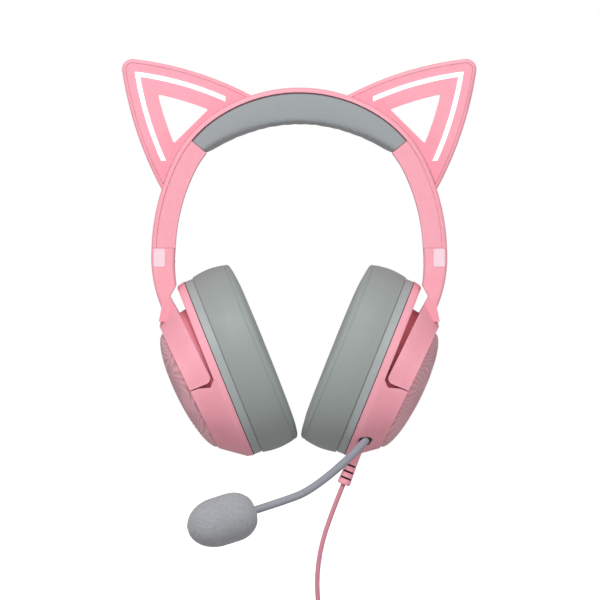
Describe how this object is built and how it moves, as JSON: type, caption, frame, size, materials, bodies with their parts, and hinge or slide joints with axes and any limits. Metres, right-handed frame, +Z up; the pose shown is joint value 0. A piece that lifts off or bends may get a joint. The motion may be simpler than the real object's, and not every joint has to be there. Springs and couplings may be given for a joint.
{
  "type": "gaming headset",
  "caption": "Over-ear gaming headset with ear-shaped light housings on its band, sliding forked yokes, tilting cushioned cups, a bendable microphone boom and a coiled cord.",
  "frame": {"origin": "middle of the band pad's underside, where the headset rests on a head", "axes": "+Z up, -Y the way the wearer faces, +X the wearer's left"},
  "size_m": [0.1896, 0.136, 0.3845],
  "materials": {
    "pink_plastic": "matte moulded",
    "pink_ridged": "moulded fine ridges",
    "pale_pink": "satin",
    "grey_fabric": "woven over foam",
    "grey_leatherette": "fine grain",
    "grey_plastic": "satin",
    "dark_mesh": "mesh",
    "black_plastic": "matte",
    "foam": "open-cell foam",
    "boom_rubber": "matte",
    "light_white": "diffusing",
    "board": "solder mask",
    "steel": "brushed",
    "cable_pink": "matte",
    "tie_black": "matte"
  },
  "bodies": {
    "headband": {"headband_outer_cover": "pink_plastic", "headband_inner_cover_left": "pink_plastic", "headband_inner_cover_right": "pink_plastic", "headband_spring": "steel", "headband_pad": "grey_fabric", "headband_screws": "steel", "crossover_cable": "cable_pink", "ear_screws": "steel", "ear_shell_left": "pink_plastic", "ear_shell_right": "pink_plastic", "ear_cover_left": "pink_plastic", "ear_cover_right": "pink_plastic", "ear_light_left": "light_white", "ear_light_right": "light_white", "ear_light_board_left": "board", "ear_light_board_right": "board"},
    "left_slider": {"slider_strip_left": "steel", "yoke_left": "pink_plastic", "side_marker_left": "pale_pink", "slider_screws_left": "steel", "pivot_pins_left": "steel"},
    "left_cup": {"cup_shell_left": "pink_plastic", "grille_face_left": "pink_ridged", "baffle_left": "grey_plastic", "driver_left": "black_plastic", "driver_mesh_left": "dark_mesh", "ear_cushion_left": "grey_leatherette", "cup_screws_left": "steel", "main_board": "board", "mic_socket": "black_plastic", "boom_lower": "boom_rubber", "strain_relief": "cable_pink", "cord": "cable_pink", "cord_coil": "cable_pink", "coil_tie": "tie_black", "plug_body": "cable_pink", "plug_shell": "steel"},
    "right_slider": {"slider_strip_right": "steel", "yoke_right": "pink_plastic", "side_marker_right": "pale_pink", "slider_screws_right": "steel", "pivot_pins_right": "steel"},
    "right_cup": {"cup_shell_right": "pink_plastic", "grille_face_right": "pink_ridged", "baffle_right": "grey_plastic", "driver_right": "black_plastic", "driver_mesh_right": "dark_mesh", "ear_cushion_right": "grey_leatherette", "cup_screws_right": "steel"},
    "wheel": {"volume_wheel": "pink_plastic"},
    "button": {"mute_button": "pink_plastic"},
    "boom": {"boom_middle": "boom_rubber"},
    "microphone": {"boom_upper": "boom_rubber", "mic_capsule": "black_plastic", "mic_housing": "pink_plastic", "windscreen": "foam"}
  },
  "joints": [
    {"name": "left_slide", "type": "slide", "parent": "headband", "child": "left_slider", "axis": [0.0872, 0, -0.9962], "range_m": [0, 0.028]},
    {"name": "left_tilt", "type": "hinge", "parent": "left_slider", "child": "left_cup", "pos_m": [0.05582, 0, -0.1337], "axis": [0, -1, 0], "range_deg": [0, 8]},
    {"name": "right_slide", "type": "slide", "parent": "headband", "child": "right_slider", "axis": [-0.0872, 0, -0.9962], "range_m": [0, 0.028]},
    {"name": "right_tilt", "type": "hinge", "parent": "right_slider", "child": "right_cup", "pos_m": [-0.05582, 0, -0.1337], "axis": [0, 1, 0], "range_deg": [0, 8]},
    {"name": "volume_turn", "type": "hinge", "parent": "left_cup", "child": "wheel", "pos_m": [0.04647, 0.02904, -0.15285], "axis": [0.9272, 0, -0.3746], "range_deg": [-140, 140]},
    {"name": "mute_press", "type": "slide", "parent": "left_cup", "child": "button", "axis": [-0.2115, -0.5334, 0.819], "range_m": [0, 0.0008], "stiffness_N_per_m": 600, "springref_m": -0.0006},
    {"name": "boom_swing", "type": "hinge", "parent": "left_cup", "child": "boom", "pos_m": [0.017, -0.0455, -0.18655], "axis": [-0.3398, -0.3489, 0.8734], "range_deg": [-15, 35]},
    {"name": "boom_lift", "type": "hinge", "parent": "boom", "child": "microphone", "pos_m": [-0.0182, -0.06953, -0.20389], "axis": [-0.3553, 0.9347, 0], "range_deg": [-30, 30]}
  ]
}
